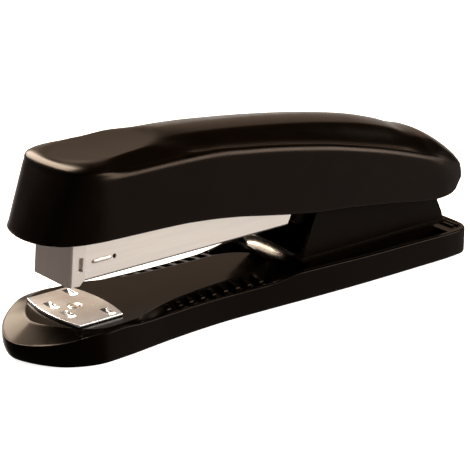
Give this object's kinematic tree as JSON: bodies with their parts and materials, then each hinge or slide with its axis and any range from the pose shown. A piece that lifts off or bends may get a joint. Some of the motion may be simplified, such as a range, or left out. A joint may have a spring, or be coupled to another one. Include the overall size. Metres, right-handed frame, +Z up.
{
  "type": "desk stapler",
  "caption": "Desk stapler: long moulded cover over a sprung steel magazine with staple pusher, above a base with a turning anvil plate, all hinged on a rear pin.",
  "frame": {"origin": "on the table, under the middle of the base's length and width", "axes": "+Z up; +X along the base from the nose towards the hinge; +Y across the base, to the left for someone looking from the nose towards the hinge"},
  "size_m": [0.1504, 0.0358, 0.0532],
  "materials": {
    "black_plastic": "satin moulded plastic, near black",
    "rubber": "matt",
    "black_steel": "black coating, semi-gloss",
    "bright_steel": "nickel-plated, satin",
    "dark_steel": "darker plated steel",
    "spring_steel": "polished spring steel"
  },
  "bodies": {
    "base": {"base_shell": "black_plastic", "base_sole": "rubber", "hinge_bracket": "black_steel", "bracket_rivet_front": "dark_steel", "bracket_rivet_rear": "dark_steel", "return_spring": "spring_steel", "spring_rivet": "dark_steel", "pivot_pin": "dark_steel", "pin_ring": "dark_steel"},
    "anvil": {"anvil_plate": "bright_steel", "anvil_stud": "bright_steel", "anvil_washer": "spring_steel"},
    "magazine": {"magazine_sheath": "bright_steel", "front_plate": "dark_steel", "staple_rail": "bright_steel", "staple_strip": "bright_steel", "guide_rod": "spring_steel", "magazine_carrier": "black_steel", "spring_bridge": "dark_steel", "handle_spring": "spring_steel", "pusher_spring": "spring_steel"},
    "pusher": {"pusher": "black_plastic"},
    "cover": {"cover_shell": "black_plastic", "cover_frame": "dark_steel", "cover_screw_front": "dark_steel", "cover_screw_rear": "dark_steel", "driver_blade": "spring_steel", "driver_rivet": "dark_steel"}
  },
  "joints": [
    {"name": "head_swing", "type": "hinge", "parent": "base", "child": "magazine", "pos_m": [0.06195, 0, 0.023], "axis": [0, 1, 0], "range_deg": [-3.9, 12], "stiffness_Nm_per_rad": 5, "springref_deg": 1.03, "deforming": ["return_spring"]},
    {"name": "cover_swing", "type": "hinge", "parent": "magazine", "child": "cover", "pos_m": [0.06195, 0, 0.023], "axis": [0, 1, 0], "range_deg": [-4.3, 75], "stiffness_Nm_per_rad": 2, "springref_deg": 1.03, "deforming": ["handle_spring"]},
    {"name": "pusher_slide", "type": "slide", "parent": "magazine", "child": "pusher", "axis": [1, 0, 0], "range_m": [0, 0.032], "stiffness_N_per_m": 60, "springref_m": -0.02, "deforming": ["pusher_spring"]},
    {"name": "anvil_turn", "type": "hinge", "parent": "base", "child": "anvil", "pos_m": [-0.05505, 0, 0.009], "axis": [0, 0, 1], "range_deg": [0, 180]}
  ]
}
